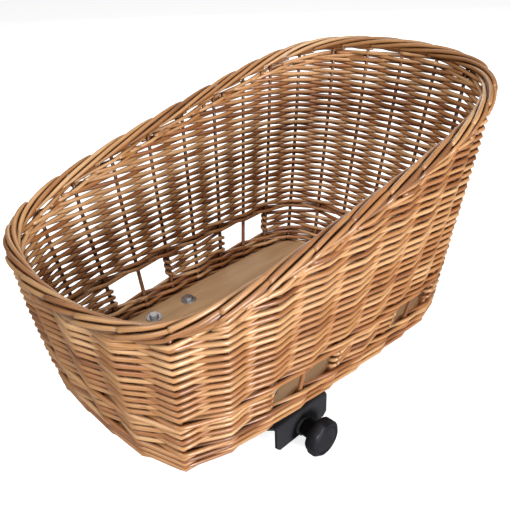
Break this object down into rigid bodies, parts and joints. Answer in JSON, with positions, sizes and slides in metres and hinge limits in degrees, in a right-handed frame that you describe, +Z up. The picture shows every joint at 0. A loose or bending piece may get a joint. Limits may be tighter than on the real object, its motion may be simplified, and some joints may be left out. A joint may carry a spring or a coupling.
{
  "type": "pet bicycle basket",
  "caption": "Woven willow basket with a low front and a high back, side windows, a flat floor board and a screw clamp underneath for a bicycle's luggage carrier.",
  "frame": {"origin": "middle of the clamp, on the plane where the carrier's rails touch the underside of the two jaw plates", "axes": "+X from the low front of the basket to its high back, +Y across the basket from the knob to the fixed jaw, +Z up out of the mouth"},
  "size_m": [0.5493, 0.3646, 0.3676],
  "materials": {
    "willow": "peeled and stained willow, semi-matt",
    "willow_border": "peeled and stained willow, semi-matt",
    "plywood": "bare sanded plywood",
    "zinc": "bright zinc plate",
    "black_steel": "black powder coat",
    "black_plastic": "moulded black plastic"
  },
  "bodies": {
    "basket_body": {"woven_wall": "willow", "wicker_base": "willow", "rim_border": "willow_border", "base_border": "willow_border", "base_board": "plywood", "bridge_bracket": "black_steel", "base_bolt_1": "zinc", "base_washer_1": "zinc", "base_nut_1": "zinc", "base_bolt_2": "zinc", "base_washer_2": "zinc", "base_nut_2": "zinc", "base_bolt_3": "zinc", "base_washer_3": "zinc", "base_nut_3": "zinc", "base_bolt_4": "zinc", "base_washer_4": "zinc", "base_nut_4": "zinc", "fixed_jaw": "black_steel", "guide_bolt_1": "black_steel", "guide_nut_1": "zinc", "guide_bolt_2": "black_steel", "guide_nut_2": "zinc", "guide_bolt_3": "black_steel", "guide_nut_3": "zinc", "guide_bolt_4": "black_steel", "guide_nut_4": "zinc", "screw_nut": "zinc"},
    "jaw_carriage": {"sliding_jaw": "black_steel", "knob_washer_1": "zinc", "knob_washer_2": "zinc"},
    "screw_and_knob": {"clamp_knob": "black_plastic", "clamp_screw": "zinc", "retaining_ring": "zinc"}
  },
  "joints": [
    {"name": "jaw_slide", "type": "slide", "parent": "basket_body", "child": "jaw_carriage", "axis": [0, 1, 0], "range_m": [0, 0.05]},
    {"name": "knob_turn", "type": "hinge", "parent": "jaw_carriage", "child": "screw_and_knob", "pos_m": [0, -0.13, -0.0164], "axis": [0, 1, 0], "range_deg": [0, 14400]}
  ],
  "couplings": [
    {"joint": "knob_turn", "follows": "jaw_slide", "rad_per_m": 5026.5}
  ]
}
